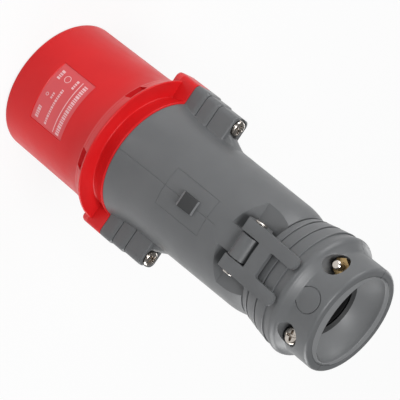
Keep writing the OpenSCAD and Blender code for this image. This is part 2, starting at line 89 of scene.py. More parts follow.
def gridFaces(rows, cols, closeCols=True, closeRows=False):
    # quads between neighbouring points of a grid; columns run counter-clockwise seen from +Z
    index = np.arange(rows * cols).reshape(rows, cols)
    if closeCols:
        index = np.concatenate([index, index[:, :1]], 1)
    if closeRows:
        index = np.concatenate([index, index[:1]], 0)
    corners = [index[:-1, :-1], index[:-1, 1:], index[1:, 1:], index[1:, :-1]]
    return np.stack(corners, -1).reshape(-1, 4).tolist()


def newPiece(name, points, faces, smoothAngle=32):
    # points in millimetres become a mesh in metres, on an object at the origin
    mesh = bpy.data.meshes.new(name)
    mesh.from_pydata((np.asarray(points, float).reshape(-1, 3) * mm).tolist(), [], faces)
    mesh.update()
    piece = bpy.data.objects.new(name, mesh)
    bpy.context.scene.collection.objects.link(piece)
    smooth(piece, smoothAngle)
    return piece


def smooth(piece, angle):
    # faces that meet at less than the angle, in degrees, are shaded as one
    piece.data.shade_smooth()
    piece.data.set_sharp_from_angle(angle=math.radians(angle))


def applyModifiers(piece, smoothAngle=32):
    # the mesh as its modifiers leave it becomes the piece's own
    graph = bpy.context.evaluated_depsgraph_get()
    done = bpy.data.meshes.new_from_object(piece.evaluated_get(graph))
    piece.modifiers.clear()
    piece.data = done
    smooth(piece, smoothAngle)


def combine(piece, others, operation, smoothAngle=32):
    # exact union, difference or intersection with other closed meshes, which are used up
    for other in others:
        step = piece.modifiers.new("combine", "BOOLEAN")
        step.operation = operation
        step.solver = "EXACT"
        step.object = other
    applyModifiers(piece, smoothAngle)
    for other in others:
        bpy.data.objects.remove(other)


def roundEdges(piece, width, segments=3, angle=30):
    # a bevel on every edge that is sharper than the angle, in degrees
    step = piece.modifiers.new("round", "BEVEL")
    step.width = width * mm
    step.segments = segments
    step.limit_method = "ANGLE"
    step.angle_limit = math.radians(angle)
    step.harden_normals = False
    applyModifiers(piece)


def giveMaterials(piece, *recipes):
    # a piece's own materials, in the order of its zones
    for recipe in recipes:
        piece.data.materials.append(recipe.material)


def prism(name, outline, x0, x1, axis="x"):
    # a closed outline pushed along an axis: [y, z] pairs along X, or [x, z] pairs along Y
    outline = np.asarray(outline, float)
    a, b = outline[:, 0], outline[:, 1]
    area = np.sum(a * np.roll(b, -1) - b * np.roll(a, -1))
    flip = (area < 0) if axis == "x" else (area > 0)
    if flip:
        a, b = a[::-1], b[::-1]
    ends = []
    for x in (x0, x1):
        side = np.full_like(a, x)
        ends.append(np.stack([side, a, b], -1) if axis == "x" else np.stack([a, side, b], -1))
    n = len(a)
    faces = [[i, (i + 1) % n, n + (i + 1) % n, n + i] for i in range(n)]
    faces += [list(range(n))[::-1], list(range(n, 2 * n))]
    return newPiece(name, np.concatenate(ends), faces)


def rod(name, centre, radius, length, direction, sides=64):
    # a closed cylinder: a circle round a centre point, carried along a direction
    turn = np.array(Vector(direction).to_track_quat("Z", "Y").to_matrix())
    angle = np.linspace(0, 2 * np.pi, sides, endpoint=False)
    ring = np.stack([np.cos(angle) * radius, np.sin(angle) * radius, angle * 0], -1)
    rings = np.concatenate([ring, ring + [0, 0, length]])
    faces = gridFaces(2, sides) + [list(range(sides))[::-1], list(range(sides, 2 * sides))]
    return newPiece(name, rings @ turn.T + np.array(centre), faces)


def arc(cx, cy, radius, start, end, count):
    # points on a circle around a centre, angles in degrees
    t = np.radians(np.linspace(start, end, count))
    return np.stack([cx + radius * np.cos(t), cy + radius * np.sin(t)], -1)


def hingeBore():
    # a cutting rod along the hinge's axis, past both ends of the pin
    reach = 30
    return rod("bore", [-reach, hingeY, hingeZ], bores["hingePin"], 2 * reach, [1, 0, 0])


ear = {
    "halfWidth": 6.8,
    "corner": 2.6,  # rounding of the two outer corners
    "root": 0.6,  # hollow fillet where the ear leaves the round body
}


def earPath(bodyR, inset):
    # half an ear in plan: hollow fillet from the body's circle, straight side, round corner,
    # flat end; every row of the grid has its own body radius and inset
    bodyR, inset = bodyR[:, None], inset[:, None]
    half = ear["halfWidth"] - inset
    reach = earReach - inset
    root, corner = ear["root"], ear["corner"]
    xc = np.sqrt((bodyR + root) ** 2 - (half + root) ** 2)
    yc = half + root
    first = np.arctan2(yc, xc)
    t = np.linspace(0, 1, 7)[None]
    turn = first + np.pi + (np.pi / 2 - first) * t
    xs = [xc + root * np.cos(turn)]
    ys = [yc + root * np.sin(turn)]
    t = np.linspace(0, 1, 6)[None, 1:]
    xs.append(xc + (reach - corner - xc) * t)
    ys.append(half + 0 * xs[-1])
    t = np.radians(np.linspace(90, 0, 8))[None, 1:]
    xs.append(reach - corner + corner * np.cos(t))
    ys.append(half - corner + corner * np.sin(t))
    t = np.linspace(1, 0, 5)[None, 1:]
    xs.append(reach + 0 * t + 0 * half)
    ys.append((half - corner) * t)
    return np.concatenate(xs, 1), np.concatenate(ys, 1), first


def outlineRows(z, bodyR, amount, inset, baseAngles, bump=None):
    # a grid of outlines: a circle of radius bodyR(z) whose columns near +X and -X can move
    # out to the ears; amount is 1 where the ears stand and 0 where there are none, and bump
    # is added to the radius of the arcs between the ears, on the -Y and on the +Y side alike
    earX, earY, first = earPath(bodyR, inset)
    count = earX.shape[1]
    step = np.linspace(1, 0, count)[None]
    circleX = bodyR[:, None] * np.cos(first * step)
    circleY = bodyR[:, None] * np.sin(first * step)
    amount = amount[:, None]
    halfX = amount * earX + (1 - amount) * circleX
    halfY = amount * earY + (1 - amount) * circleY
    # the arcs' columns keep their angle near the middle, and past the firm angle they are
    # stretched evenly so that the last ones meet the ears
    firm, last = math.radians(50), math.radians(77)
    room = np.pi / 2 - first
    base = np.radians(baseAngles)[None]
    side = np.sign(base)
    stretch = firm + (np.abs(base) - firm) * (room - firm) / (last - firm)
    angle = side * np.where(np.abs(base) <= firm, np.abs(base), stretch)
    radius = bodyR[:, None] if bump is None else bodyR[:, None] + bump
    arcX, arcY = radius * np.sin(angle), -radius * np.cos(angle)
    xs = [arcX, halfX, halfX[:, -2::-1], -arcX, -halfX, -halfX[:, -2::-1]]
    ys = [arcY, -halfY, halfY[:, -2::-1], -arcY, halfY, -halfY[:, -2::-1]]
    x = np.concatenate(xs, 1)
    y = np.concatenate(ys, 1)
    return np.stack([x, y, np.repeat(z[:, None], x.shape[1], 1)], -1)


def arcColumns(extra):
    # column angles of one arc in degrees from its middle: even steps, which give way where
    # the extra lines stand
    even = np.linspace(-75, 75, 76)
    nearest = 0.7
    keep = [a for a in even if all(abs(a - e) > nearest for e in extra)]
    return np.array(sorted(keep + list(extra)))


sleeve = {
    "mouthR": 33.0,
    "backR": 33.3,
    "mouthRound": 1.4,
    "cavityR": 29.4,
    "cavityDepth": 46.0,
    "cavityRound": 0.5,
    "mouthChamfer": 0.65,
    "seatR": 24.6,
    "seatDepth": 4.0,
    "boreR": 26.8,
    "flangeBack": 59.6,
    "rimWidth": 6.6,  # the flange's sloping rim, from its crease to its back
    "creaseR": 34.4,
    "flareLength": 9.0,
    "backRound": 0.6,
    "earAhead": 5.1,
    "neckR": 29.6,
    "neckFillet": 0.5,
    "lipR": 31.1,
    "lipWidth": 0.8,
    "lipPower": 1.7,  # the neck rises to its lip by this power
    "keyHalf": 3.0,
    "keyTop": 36.4,
    "keyStart": 3.0,
    "keyBack": 1.5,  # from the key's end to the flange's back
    "keyFront": 0.8,  # run of the key's rounded front end
    "keyDrop": 0.5,  # height that the front end loses
    "keyFlat": 2.5,  # half width of the key's flat top
    "keyFall": 1.6,  # how fast its long edges fall away
    "keyColumns": [1.2, 2.3, 2.7, 2.93, 3.0, 3.12],  # places across half the key
}

label = {
    "start": 17.0,
    "length": 21.5,
    "half": 14.5,
    "sink": 0.35,
    "draft": 0.12,  # what the sleeve's draft adds by the field's start, and again by its end
    "edge": 0.12,  # half width of the fine steps round the field, and in degrees at its sides
}

pocket = {  # moulding pockets in the flange's sloping rim
    "angles": [-41.0, 22.4],  # degrees from -Y
    "half": 4.8,
    "start": 53.2,
    "end": 58.0,
    "floorR": 34.5,
    "edgeAngle": 0.15,  # half width of the fine steps at its sides, in degrees
}


def sleeveRadius(z):
    # slight draft from the mouth, a square-law flare up to the crease, then a straight cone
    s = sleeve
    creaseZ = s["flangeBack"] - s["rimWidth"]
    flare = np.clip((z - creaseZ + s["flareLength"]) / s["flareLength"], 0, 1)
    cone = np.clip((z - creaseZ) / (s["rimWidth"] - s["backRound"]), 0, 1)
    draft = s["mouthR"] + (s["backR"] - s["mouthR"]) * np.clip(z / (creaseZ - s["flareLength"]), 0, 1)
    return draft + (s["creaseR"] - s["backR"]) * flare ** 2 + (flangeR - s["creaseR"]) * cone


def sleeveRows():
    # outer rows from the mouth to the seam as [z, radius, ear amount, ear inset]
    s = sleeve
    back = s["flangeBack"]
    creaseZ = back - s["rimWidth"]
    earZ = back - s["earAhead"]
    heights = list(np.linspace(s["mouthRound"], creaseZ - s["flareLength"], 22)[1:])
    heights += list(np.linspace(creaseZ - s["flareLength"], creaseZ, 14)[1:])
    labelEnd = label["start"] + label["length"]
    for line in (s["keyStart"], label["start"], labelEnd, pocket["start"], pocket["end"]):
        heights += [line - label["edge"], line + label["edge"]]
    heights += list(np.linspace(creaseZ, back - s["backRound"], 7)[1:])
    heights = np.array(sorted(set(np.round(heights, 4))))
    round0 = arc(s["mouthR"] - s["mouthRound"], s["mouthRound"], s["mouthRound"], -90, 0, 7)
    rows = [[z, r, 0, 0] for r, z in round0]
    rows += [[z, r, 0, 0] for z, r in zip(heights, sleeveRadius(heights)) if z < earZ - 0.02]
    start = float(sleeveRadius(earZ))
    rows += [[earZ, start, 0, 0], [earZ + 0.01, start, 1, 0.9], [earZ + 0.25, start, 1, 0.3]]
    rows += [[z, r, 1, 0] for z, r in zip(heights, sleeveRadius(heights)) if z > earZ + 0.7]
    corner = arc(flangeR - s["backRound"], back - s["backRound"], s["backRound"], 0, 90, 5)
    rows += [[z, r, 1, 0] for r, z in corner]
    fillet = s["neckFillet"]
    rows += [[z, r, 1, 0] for r, z in arc(s["neckR"] + fillet, back + fillet, fillet, 270, 180, 5)]
    lipZ = seamZ - s["lipWidth"]
    for t in np.linspace(0, 1, 9)[1:]:
        rows.append([back + fillet + (lipZ - back - fillet) * t,
                     s["neckR"] + (s["lipR"] - 0.1 - s["neckR"]) * t ** s["lipPower"], 1, 0])
    rows += [[seamZ - 0.5, s["lipR"], 1, 0], [seamZ - 0.2, s["lipR"] - 0.1, 1, 0.05],
             [seamZ, s["lipR"] - 0.5, 1, 0.4]]
    return np.array(rows, float)


def makeSleeve():
    # outer outline rows, then circles down the bore, the pin seat and the cavity to the mouth;
    # the label field and the pockets lower the radius of both arcs, the key raises columns
    # near +Y
    s = sleeve
    edge = math.degrees(math.asin(label["half"] / s["mouthR"]))
    keyAngles = [math.degrees(math.asin(x / s["mouthR"])) for x in s["keyColumns"]]
    extra = [v * (edge + w) for v in (-1, 1) for w in (-label["edge"], label["edge"])] + [0.0]
    extra += [v * a for a in keyAngles for v in (-1, 1)]
    span = math.degrees(pocket["half"] / flangeR)
    sides = [v * (span + w) for v in (-1, 1) for w in (-pocket["edgeAngle"], pocket["edgeAngle"])]
    extra += [middle + side for middle in pocket["angles"] for side in sides]
    columns = arcColumns(sorted(set(extra)))
    rows = sleeveRows()
    z, radius = rows[:, :1], rows[:, 1:2]
    angle = columns[None]
    inLabel = (np.abs(angle) < edge) & (z > label["start"]) & (z < label["start"] + label["length"])
    bump = -label["sink"] * inLabel
    for middle in pocket["angles"]:
        inPocket = (np.abs(angle - middle) < span) & (z > pocket["start"]) & (z < pocket["end"])
        bump = np.where(inPocket, np.minimum(0, pocket["floorR"] - radius), bump)
    outer = outlineRows(rows[:, 0], rows[:, 1], rows[:, 2], rows[:, 3], columns, bump)
    # the key: columns with |x| under its half width rise to its top, with round upper edges
    first = outer.shape[1] // 2
    block = outer[:, first:first + len(columns)]
    x = block[..., 0]
    front = np.clip((z - s["keyStart"]) / s["keyFront"], 0, 1)
    top = s["keyTop"] - s["keyFall"] * np.clip(np.abs(x) - s["keyFlat"], 0, 1) ** 2
    top = top - s["keyDrop"] * (1 - front) ** 2
    onKey = (np.abs(x) < s["keyHalf"] + 0.06) & (z > s["keyStart"]) & (z < s["flangeBack"] - s["keyBack"])
    block[..., 1] = np.where(onKey, np.maximum(block[..., 1], top), block[..., 1])
    # the inside, with plain rows on its long walls
    seatZ = s["cavityDepth"] + s["seatDepth"]
    floorZ, wallR, chamfer = s["cavityDepth"], s["cavityR"], s["mouthChamfer"]
    inner = [[seamZ, s["boreR"]], [60.0, s["boreR"]], [seatZ, s["boreR"]], [seatZ, s["seatR"]],
             [floorZ, s["seatR"]], [floorZ, wallR - s["cavityRound"]], [floorZ - s["cavityRound"], wallR]]
    inner += [[v, wallR] for v in (40, 30, 20, 10, 2 * chamfer)] + [[0.0, wallR + chamfer]]
    inner = np.array(inner)
    plain = np.zeros(len(inner))
    bore = outlineRows(inner[:, 0], inner[:, 1], plain, plain, columns)
    points = np.concatenate([outer, bore])
    faces = gridFaces(points.shape[0], points.shape[1], True, True)
    piece = newPiece("redSleeve", points, faces, 26)
    giveMaterials(piece, redPlastic, redField, redDeep, redRim)
    # zones by grid point: 1 the field, 2 the pockets with painted shade, 3 the sloping rim with painted
    # light,
    # 0 the rest; a face takes its corners' zone where they agree, and a pocket's where two of them lie in
    # it
    zone = np.zeros(points.shape[:2], int)
    creaseZ = s["flangeBack"] - s["rimWidth"]
    zone[:len(rows)] = np.where((z > creaseZ - 0.01) & (z < s["flangeBack"] - s["backRound"]), 3, 0)
    nearArc = zone[:len(rows), :len(columns)]
    nearArc[:] = np.where(inLabel, 1, np.where(bump < -label["sink"] - 0.01, 2, nearArc))
    corners = np.sort(zone.reshape(-1)[np.array(faces)], 1)
    same = corners[:, 0] == corners[:, -1]
    shadedPocket = (corners[:, 0] == 2) | ((corners == 2).sum(1) >= 2)
    index = np.where(shadedPocket, 2, np.where(same, corners[:, 0], 0))
    piece.data.polygons.foreach_set("material_index", index.astype(np.int32))
    holes = [rod("hole", [v * earScrewX, 0, seamZ - 9], bores["insert"], 12, [0, 0, 1]) for v in (-1, 1)]
    combine(piece, holes, "DIFFERENCE", 26)
    return piece


printing = {
    "thickness": 0.03,
    "pattern": [0.9, 0.55, 0.7, 1.1, 0.6, 0.8, 0.5],  # lengths of the dashes in turn
    "gap": 0.38,
    # rows of dashes on the label field: place along the plug, height, and both ends across
    "dashes": [[19.3, 2.0, 12.6, 6.2], [19.2, 1.8, -7.2, -12.2], [22.9, 1.0, 1.6, -2.4],
               [25.9, 1.2, 12.8, -5.6], [29.2, 1.3, -7.4, -11.8], [34.0, 2.2, 13.4, -12.8]],
    "bars": [[32.1, 0.4, 13.4, -12.4]],
    "rings": [[20.4, 0.7, 1.0], [24.6, 1.6, -9.6]],  # place along the plug, radius, place across
    "stroke": 0.26,
}


def curvedSlab(x0, x1, z0, z1):
    # a thin closed slab that follows the label field between two edges across and two along
    r0 = sleeve["mouthR"] + label["draft"] - label["sink"]
    r1 = r0 + printing["thickness"] + label["draft"]
    longest = 0.8  # between neighbouring columns
    count = max(3, int(abs(x1 - x0) / longest) + 2)
    angle = np.arcsin(np.linspace(min(x0, x1), max(x0, x1), count) / r1)
    loop = np.array([[r1, z0], [r1, z1], [r0, z1], [r0, z0]])
    x = loop[:, :1] * np.sin(angle)[None]
    y = -loop[:, :1] * np.cos(angle)[None]
    points = np.stack([x, y, np.repeat(loop[:, 1:], count, 1)], -1).reshape(-1, 3)
    faces = gridFaces(4, count, False, True)
    faces += [[i * count for i in range(4)], [i * count + count - 1 for i in range(4)][::-1]]
    return points, faces


def curvedRing(z, radius, across, bodyR, low, high, half):
    # a closed ring of square section laid on a round body: polar angle round the ring's centre
    turn = np.linspace(0, 2 * np.pi, 72, endpoint=False)[None]
    loop = np.array([[half, low], [half, high], [-half, high], [-half, low]])
    reach = radius + loop[:, :1]
    angle = (across + reach * np.cos(turn)) / bodyR
    level = bodyR + loop[:, 1:]
    points = np.stack([level * np.sin(angle), -level * np.cos(angle), z + reach * np.sin(turn)], -1)
    return points.reshape(-1, 3), gridFaces(4, turn.size, True, True)


def makePrint():
    # rows of plain dashes, a line and two rings of ink on the label field
    parts = []
    pattern = printing["pattern"]
    for z, height, start, end in printing["dashes"]:
        place, i = start, 0
        while place - pattern[i % len(pattern)] > end:
            length = pattern[i % len(pattern)]
            parts.append(curvedSlab(place - length, place, z, z + height))
            place -= length + printing["gap"]
            i += 1
    parts += [curvedSlab(end, start, z, z + height) for z, height, start, end in printing["bars"]]
    fieldR = sleeve["mouthR"] + label["draft"] - label["sink"]
    for z, radius, across in printing["rings"]:
        parts.append(curvedRing(z, radius, across, fieldR, 0, 0.15, printing["stroke"] / 2))
    points, faces = [], []
    for partPoints, partFaces in parts:
        start = sum(len(p) for p in points)
        points.append(partPoints)
        faces += [[start + i for i in face] for face in partFaces]
    return newPiece("labelPrint", np.concatenate(points), faces)


housing = {
    "frontR": 30.7,
    "midR": 28.1,
    "rearR": 27.1,
    "endR": 25.4,
    "frontFlare": 28.0,
    "rearRound": 10.0,
    "wall": 2.8,
    "earBack": 26.1,
    "earBlock": 7.7,  # length of each of the two short blocks of an ear
    "earStep": 0.45,
    "earGroove": 0.35,  # depth of the thin lines between the blocks
    "gusset": 7.5,  # run of the sloping rib behind the ear's end
    "gussetFoot": 0.34,  # share of the ear's reach that the rib starts from
    "gussetPower": 1.15,
    "floor": 18.2,  # height of the flat under the latch above the axis
    "flatAhead": 6.4,  # from the front of the flat to the hinge
    "flatSlope": 0.58,  # lean of the wall at its front
    "tongueHalf": 5.5,
    "knuckleR": 5.0,
    "dipStart": -16.8,  # place along the plug from the hinge
    "footRise": 0.8,  # height of the knuckle's foot above the hinge
    "lugStart": 38.6,
    "lugLength": 9.9,
    "lugHalf": 3.5,
    "lugHeight": 3.2,
    "lugEnd": 1.5,  # height of the lug's rear end
    "lugRoot": 1.5,  # how deep the lug is sunk into the body
    "neckR": 17.4,
    "neckStart": 141.6,  # the neck's places along the plug
    "ringStart": 159.8,
    "ringEnd": 162.8,
    "ringR": 19.4,  # ring at the neck's end, which the clamp holds
    "cableR": 13.0,
    "sealR": 15.0,
    "sealStart": 146.6,
    "sealEnd": 161.6,
    "neckInsideR": 14.8,  # outside of the neck where it stands in the hollow
    "hollowRows": [149.2, 146, 142, 138, 134.2, 130, 120, 105, 90, 78, 72.5],
    "shelfStart": 133,  # from here on the hollow is lower under the latch
    "spigotR": 26.6,
    "spigotInsideR": 24.0,
    "spigotFoot": 71.1,
}


lines = {  # fine mould lines on the latch side of the housing
    "half": 0.1,
    "depth": 0.14,
    "frameStart": 96.0,
    "frameEnd": 122.5,
    "frameHalf": 9.1,
    "midEnd": 128.0,
}


def bodyRadius(z):
    # an even taper, plus a flare that fades with the third power behind the seam, less a
    # rear rounding that grows with the square
    h = housing
    length = bodyEndZ - seamZ
    t = (z - seamZ) / length
    front = np.maximum(0, 1 - (z - seamZ) / h["frontFlare"])
    rear = np.maximum(0, (z - (bodyEndZ - h["rearRound"])) / h["rearRound"])
    taper = h["midR"] + (h["rearR"] - h["midR"]) * t
    return taper + (h["frontR"] - h["midR"]) * front ** 3 - (h["rearR"] - h["endR"]) * rear ** 2


def housingRows():
    # outer rows from the seam to the rear end as [z, ear amount, ear inset]
    h = housing
    ends = [0, h["earBlock"], 2 * h["earBlock"], h["earBack"]]
    rows = [[seamZ, 1, 0.35], [seamZ + 0.12, 1, 0.1], [seamZ + 0.4, 1, 0.0]]
    for i in range(3):
        start, end, inset = seamZ + ends[i], seamZ + ends[i + 1], h["earStep"] * i
        if i:
            groove = inset + h["earGroove"]
            rows += [[start + 0.02, 1, inset], [start + 0.05, 1, groove], [start + 0.45, 1, groove],
                     [start + 0.5, 1, inset]]
        rows += [[z, 1, inset] for z in np.linspace(start + 1.2, end - 0.9, 4)]
    last = h["earStep"] * 2
    top = seamZ + h["earBack"]
    rows += [[z, 1, last + 0.7 - r] for r, z in arc(0, top - 0.7, 0.7, 0, 80, 5)]
    # the end wall, then a sloping rib that fades into the body by a power law
    foot, power = h["gussetFoot"], h["gussetPower"]
    edges = [line + v * w for line in (lines["frameStart"], lines["frameEnd"]) for v in (-1, 1)
             for w in (lines["half"], lines["half"] + 0.08)]
    crossing = [v for v in edges if top < v < top + h["gusset"]]
    amounts = [foot * (1 - ((v - top) / h["gusset"]) ** (1 / power)) for v in crossing]
    for amount in sorted(amounts + np.linspace(0, 1, 16)[:-1].tolist(), reverse=True):
        low = np.clip(1 - amount / foot, 0, 1)
        rows.append([top + h["gusset"] * low ** power, amount, last + 0.7])
    z = rows[-1][0]
    plain = list(np.linspace(z, bodyEndZ - 0.8, 52)[1:]) + [bodyEndZ - 0.25, bodyEndZ] + edges
    rows += [[v, 0, 0] for v in sorted(plain) if v > z]
    return np.array(rows, float)


def makeHousing():
    # outer rows, the neck that carries the clamp, the hollow inside and the spigot in one loop
    h = housing
    step = math.degrees(lines["half"] / h["midR"])
    frameAngle = math.degrees(math.asin(lines["frameHalf"] / h["midR"]))
    edges = [a + v * w for a in (-frameAngle, 0, frameAngle) for v in (-1, 1) for w in (step, 1.8 * step)]
    columns = arcColumns(edges)
    rows = housingRows()
    z = rows[:, 0]
    radius = bodyRadius(z)
    radius[:3] -= [0.5, 0.15, 0.0]
    radius[-1] -= 0.5
    row, angle = z[:, None], columns[None]
    within = (row > lines["frameStart"] - 0.12) & (row < lines["frameEnd"] + 0.12)
    onLine = (np.abs(angle) < 1.2 * step) & (row < lines["midEnd"])
    onLine |= (np.abs(np.abs(angle) - frameAngle) < 1.2 * step) & within
    for line in (lines["frameStart"], lines["frameEnd"]):
        onLine |= (np.abs(row - line) < 0.12) & (np.abs(angle) < frameAngle)
    # the lines run on the -Y arc only, which is the first of the two
    arcs = outlineRows(z, radius, rows[:, 1], rows[:, 2], columns)
    grooved = outlineRows(z, radius, rows[:, 1], rows[:, 2], columns, -lines["depth"] * onLine)
    outer = np.concatenate([grooved[:, :len(columns)], arcs[:, len(columns):]], 1)
    # back along the neck, over its ring, and down the cable's way past the seat of the seal
    neckZ, hollowZ = h["neckStart"], h["hollowRows"][0]
    spine = np.array([
        [bodyEndZ, h["neckR"]], [h["ringStart"], h["neckR"]], [h["ringStart"], h["ringR"]],
        [h["ringEnd"], h["ringR"]], [h["ringEnd"], h["cableR"]], [h["sealEnd"], h["cableR"]],
        [h["sealEnd"], h["sealR"]], [h["sealStart"], h["sealR"]], [h["sealStart"], h["cableR"]],
        [neckZ, h["cableR"]], [neckZ, h["neckInsideR"]], [hollowZ, h["neckInsideR"]]])
    zeros = np.zeros(len(spine))
    neck = outlineRows(spine[:, 0], spine[:, 1], zeros, zeros, columns)
    # the hollow keeps one wall under the round body and under the latch's flat
    innerZ = np.array(h["hollowRows"])
    innerR = bodyRadius(innerZ) - h["wall"]
    zeros = np.zeros(len(innerZ))
    hollow = outlineRows(innerZ, innerR, zeros, zeros, columns)
    underFloor = -(h["floor"] - h["wall"])
    high = innerZ[:, None] > h["shelfStart"]
    hollow[..., 1] = np.where(high, np.maximum(hollow[..., 1], underFloor), hollow[..., 1])
    spigot = np.array([[h["spigotFoot"], h["spigotInsideR"]], [housingLo[2], h["spigotInsideR"]],
                       [housingLo[2], h["spigotR"]], [seamZ, h["spigotR"]]])
    zeros = np.zeros(len(spigot))
    front = outlineRows(spigot[:, 0], spigot[:, 1], zeros, zeros, columns)
    points = np.concatenate([outer, neck, hollow, front])
    faces = gridFaces(points.shape[0], points.shape[1], True, True)
    piece = newPiece("greyHousing", points, faces)
    # the flat under the latch, left and right of the tongue
    wallZ = hingeZ - h["flatAhead"]
    far = bodyEndZ + 5
    rise = farOut - h["floor"]
    flat = [[-h["floor"], wallZ], [-h["floor"], far], [-farOut, far],
            [-farOut, wallZ - rise * h["flatSlope"]]]
    sides = [prism("flatLeft", flat, -farOut, -h["tongueHalf"]),
             prism("flatRight", flat, h["tongueHalf"], farOut)]
    # a plane dip from the round body down to the foot of the knuckle
    dipZ, footZ = hingeZ + h["dipStart"], hingeZ - h["knuckleR"] + 0.2
    ramp = [[-bodyRadius(dipZ), dipZ], [hingeY - h["footRise"], footZ], [-farOut, footZ], [-farOut, dipZ]]
    dip = prism("dip", ramp, -h["tongueHalf"] - 0.3, h["tongueHalf"] + 0.3)
    cuts = sides + [dip]
    for v in (-1, 1):
        cuts.append(rod("hole", [v * earScrewX, 0, seamZ - 3], bores["earScrew"], farOut, [0, 0, 1]))
    for v in (-1, 1):
        headZ = earScrewHi[2] - screw["headH"]
        cuts.append(rod("well", [v * earScrewX, 0, headZ], bores["earHead"], 10, [0, 0, 1]))
    combine(piece, cuts, "DIFFERENCE")
    # the knuckle is a rod along X, and the closing lug a wedge
    knuckle = rod("knuckle", [-h["tongueHalf"], hingeY, hingeZ], h["knuckleR"], 2 * h["tongueHalf"],
                  [1, 0, 0], 96)
    z0 = seamZ + h["lugStart"]
    r0 = bodyRadius(z0)
    top = r0 + h["lugHeight"]
    z1, root = z0 + h["lugLength"], -r0 + h["lugRoot"]
    lugSide = [[root, z0], [-r0 + 0.1, z0], [-top + 0.5, z0 + 2.4], [-top + 0.4, z0 + 3.3],
               [-r0 - h["lugEnd"], z1], [root, z1]]
    lug = prism("lug", lugSide, -h["lugHalf"], h["lugHalf"])
    roundEdges(lug, 0.25, 2)
    giveMaterials(piece, greyPlastic, greyMatt, greyLand)
    giveMaterials(lug, greyPlastic, greyMatt, greyLand)
    # the lug's sides and its sloping top are rough, with painted shade; its front and its end have painted
    # light
    normals = np.empty(len(lug.data.polygons) * 3, np.float32)
    lug.data.polygons.foreach_get("normal", normals)
    lean = normals.reshape(-1, 3)[:, 2]
    zone = np.where((lean > -0.12) & (lean < 0.9), 1, 2)
    lug.data.polygons.foreach_set("material_index", zone.astype(np.int32))
    combine(piece, [knuckle, lug], "UNION")
    combine(piece, [hingeBore()], "DIFFERENCE")
    return piece


lever = {
    "half": 12.0,
    "gapHalf": 6.1,
    "noseR": 6.0,
    "top": 4.0,  # height of the arms above the hinge
    "barStart": 6.6,
    "barLength": 7.6,
    "tipRound": 2.5,
    "tipThickness": 2.2,
    "barRound": 1.2,  # where the arms leave the bar
    "noseEnd": -66,  # degrees below the hinge where the nose ends
    "heel": [-19.2, 3.4],  # points of the underside: height, and place from the hinge
    "waist": [-28.4, 17.8],
    "edge": 0.35,
}


def makeLever():
    # an H seen from above, cut out of its side profile, with small rounded edges
    v = lever
    tipZ = leverHi[2]
    tipY = leverLo[1]
    topY = hingeY - v["top"]
    start = math.degrees(math.asin(v["top"] / v["noseR"]))
    # the nose runs from the flat top round the front to below the hinge
    turn = np.radians(np.linspace(start, v["noseEnd"], 16))
    side = np.stack([hingeY - v["noseR"] * np.sin(turn), hingeZ - v["noseR"] * np.cos(turn)], -1).tolist()
    barZ = hingeZ + v["barStart"]
    belly = -(housing["endR"] + 0.6)
    (heelY, heelZ), (waistY, waistZ) = v["heel"], v["waist"]
    side += [[heelY, hingeZ + heelZ], [belly, barZ + 0.8], [waistY, hingeZ + waistZ],
             [tipY + v["tipThickness"], tipZ], [tipY, tipZ], [topY - 0.3, barZ], [topY, hingeZ + 3]]
    body = prism("latchLever", side, -v["half"], v["half"])
    h, g, r = v["half"], v["gapHalf"], v["tipRound"]
    front, back, f = barZ, barZ + v["barLength"], v["barRound"]
    foreZ = hingeZ - 12  # ahead of the nose
    plan = [[h, foreZ], [h, tipZ - r]]
    plan += arc(h - r, tipZ - r, r, 0, 90, 8).tolist() + arc(g + r, tipZ - r, r, 90, 180, 8).tolist()
    plan += arc(g - f, back + f, f, 0, -90, 6).tolist()
    plan += arc(-g + f, back + f, f, 270, 180, 6).tolist()
    plan += arc(-g - r, tipZ - r, r, 0, 90, 8).tolist() + arc(-h + r, tipZ - r, r, 90, 180, 8).tolist()
    plan += [[-h, foreZ], [-g, foreZ], [-g, front], [g, front], [g, foreZ]]
    cut = prism("plan", plan, -farOut, -10, "y")
    combine(body, [cut], "INTERSECT")
    roundEdges(body, v["edge"], 3, 38)
    combine(body, [hingeBore()], "DIFFERENCE")
    return body


clamp = {
    "skirtR": 25.4,
    "ribStarts": [0.0, 4.2, 10.3],
    "ribEnds": [3.6, 9.7, 16.2],
    "ribBreak": 0.12,  # small bevel on the ribs' edges
    "groove": 0.6,
    "skirtPower": 0.85,
    "crestAhead": 6,  # from the bulge's crest to the collar
    "crestRound": 2.8,
    "collarFillet": 2.6,
    "rimRound": 1.5,
    "collarR": 25.85,
    "collarLength": 13.8,
    "lineR": 22.4,  # fine line round the flat rim
    "mouthHalfWidth": 21.3,
    "mouthHalfHeights": [16.4, 18.6],  # latch side and key side
    "mouthPower": 1.7,
    "mouthRound": 0.5,
    "mouthDrop": 0.15,  # the mouth's edge lies this far below the rim
    "wallStart": 0.75,  # depths below the rim, from here to the slit's
    "mouthDepth": 12.2,
    "linerStart": 13.3,
    "linerEnd": 15.7,
    "saddleStart": 16,
    "saddleEnd": 18,
    "slitStart": 5.5,
    "slitEnd": 16.5,
    "slitReach": [11.0, 23.0],  # across, from the throat to inside the wall
    "throatR": 12.5,
    "linerR": 13.4,
    "saddleR": 10.5,
    "ringStart": 159.55,  # the groove that takes the neck's ring
    "ringEnd": 163.05,
    "ringR": 19.65,
    "neckR": 17.65,
    "splitGap": 0.15,
    "headWellR": 4.7,
    "headSeat": 13.6,
    "nutSeat": 11.8,
    "screwReach": 19.3,  # the clamp screws' length past the axis
}

emblem = {"z": 183.6, "radius": 5.7, "half": 0.2, "depth": 0.3}  # plain engraved ring on the collar


def skirtRadius(z):
    # a power law from the housing's end radius to the bulge
    c = clamp
    crest = clampEndZ - c["collarLength"] - c["crestAhead"]
    t = np.clip((z - clampZ) / (crest - clampZ), 0, 1)
    return c["skirtR"] + (bulgeR - c["skirtR"]) * t ** c["skirtPower"]


